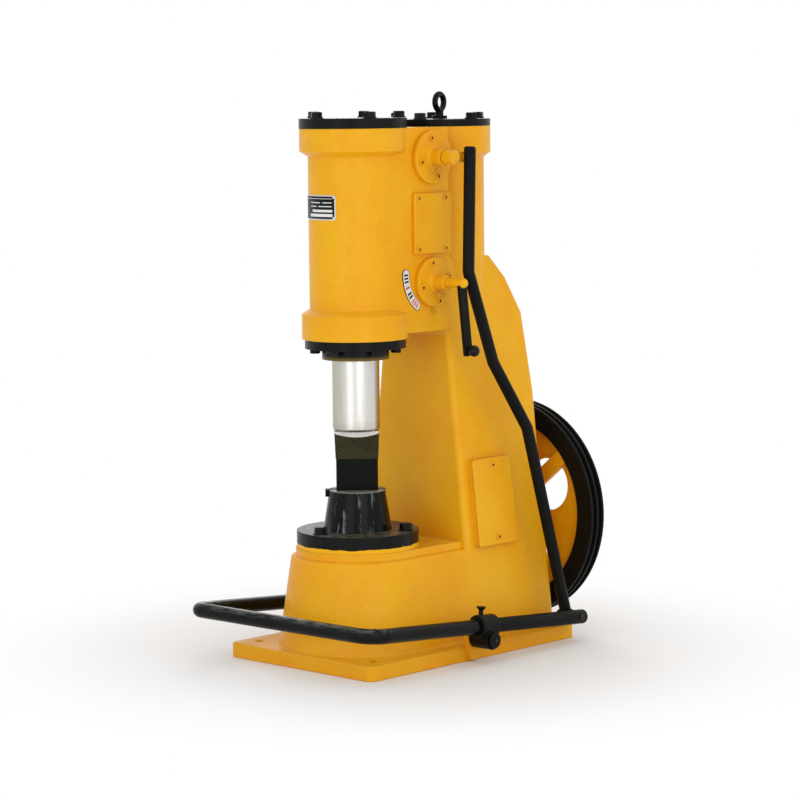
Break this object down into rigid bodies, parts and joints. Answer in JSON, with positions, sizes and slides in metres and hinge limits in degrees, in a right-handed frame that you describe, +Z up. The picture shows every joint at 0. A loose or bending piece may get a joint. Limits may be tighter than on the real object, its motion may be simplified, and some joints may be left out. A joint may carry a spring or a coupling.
{
  "type": "pneumatic forging hammer",
  "caption": "Self-contained pneumatic forging hammer: one-piece cast frame with twin cylinders, sliding ram over an anvil, foot pedal linkage, hand lever and rear flywheel.",
  "frame": {"origin": "on the floor, at the underside of the base plate, under the ram axis", "axes": "+Z up along the ram axis; -Y to the working front, +Y to the flywheel; +X to the side with the valve levers"},
  "size_m": [0.58, 0.8256, 1.235],
  "materials": {
    "yellow_enamel": "warm yellow enamel on cast iron, semi-gloss",
    "black_paint": "black enamel, glossy",
    "bright_steel": "ground bright steel",
    "die_steel": "scaled tool steel, dark brown grey",
    "dark_steel": "oiled steel"
  },
  "bodies": {
    "frame": {"frame_casting": "yellow_enamel", "front_cylinder_cover": "black_paint", "rear_cylinder_cover": "black_paint", "lower_cylinder_cover": "black_paint", "ram_gland": "black_paint", "lifting_eye": "black_paint", "upper_valve_flange": "yellow_enamel", "lower_valve_flange": "yellow_enamel", "left_upper_valve_cap": "yellow_enamel", "left_lower_valve_cap": "yellow_enamel", "right_chest_cover": "yellow_enamel", "left_chest_cover": "yellow_enamel", "right_access_cover": "yellow_enamel", "left_access_cover": "yellow_enamel", "anvil_ring": "black_paint", "die_holder": "black_paint", "lower_die_key": "black_paint", "lower_die": "black_paint", "rear_bearing_cap": "yellow_enamel", "right_pedal_bracket": "black_paint", "left_pedal_bracket": "black_paint", "right_pivot_cap": "black_paint", "left_pivot_cap": "black_paint"},
    "ram": {"ram": "bright_steel", "upper_die": "die_steel"},
    "flywheel": {"flywheel_rim": "black_paint", "flywheel_centre": "yellow_enamel", "crankshaft": "bright_steel", "flywheel_end_plate": "black_paint"},
    "pedal": {"pedal_loop": "black_paint", "pedal_rear_bar": "black_paint", "right_rocker_block": "black_paint", "left_rocker_block": "black_paint", "right_clamp_screw": "black_paint", "left_clamp_screw": "black_paint", "link_pin": "dark_steel"},
    "link_rod": {"link_rod": "black_paint"},
    "foot_valve": {"upper_valve_spindle": "yellow_enamel", "valve_crank": "yellow_enamel"},
    "hand_valve": {"lower_valve_spindle": "yellow_enamel", "hand_lever": "black_paint", "lever_knob": "black_paint"}
  },
  "joints": [
    {"name": "ram_slide", "type": "slide", "parent": "frame", "child": "ram", "axis": [0, 0, 1], "range_m": [0, 0.15]},
    {"name": "flywheel_spin", "type": "hinge", "parent": "frame", "child": "flywheel", "pos_m": [0, 0.52, 0.275], "axis": [0, 1, 0], "continuous": true},
    {"name": "pedal_hinge", "type": "hinge", "parent": "frame", "child": "pedal", "pos_m": [0, 0.127, 0.052], "axis": [1, 0, 0], "range_deg": [0, 5], "stiffness_Nm_per_rad": 60, "springref_deg": -20.05},
    {"name": "link_pivot", "type": "hinge", "parent": "pedal", "child": "link_rod", "pos_m": [0.226, 0.438, 0.057], "axis": [1, 0, 0], "range_deg": [-4.8, 0]},
    {"name": "crank_turn", "type": "hinge", "parent": "frame", "child": "foot_valve", "pos_m": [0.15, 0.137, 1.093], "axis": [1, 0, 0], "range_deg": [0, 33.4]},
    {"name": "hand_lever_turn", "type": "hinge", "parent": "frame", "child": "hand_valve", "pos_m": [0.19, 0.137, 0.822], "axis": [1, 0, 0], "range_deg": [-75, 8]}
  ],
  "couplings": [
    {"joint": "link_pivot", "follows": "pedal_hinge", "ratio": -0.9451},
    {"joint": "crank_turn", "follows": "pedal_hinge", "ratio": 6.6607}
  ]
}
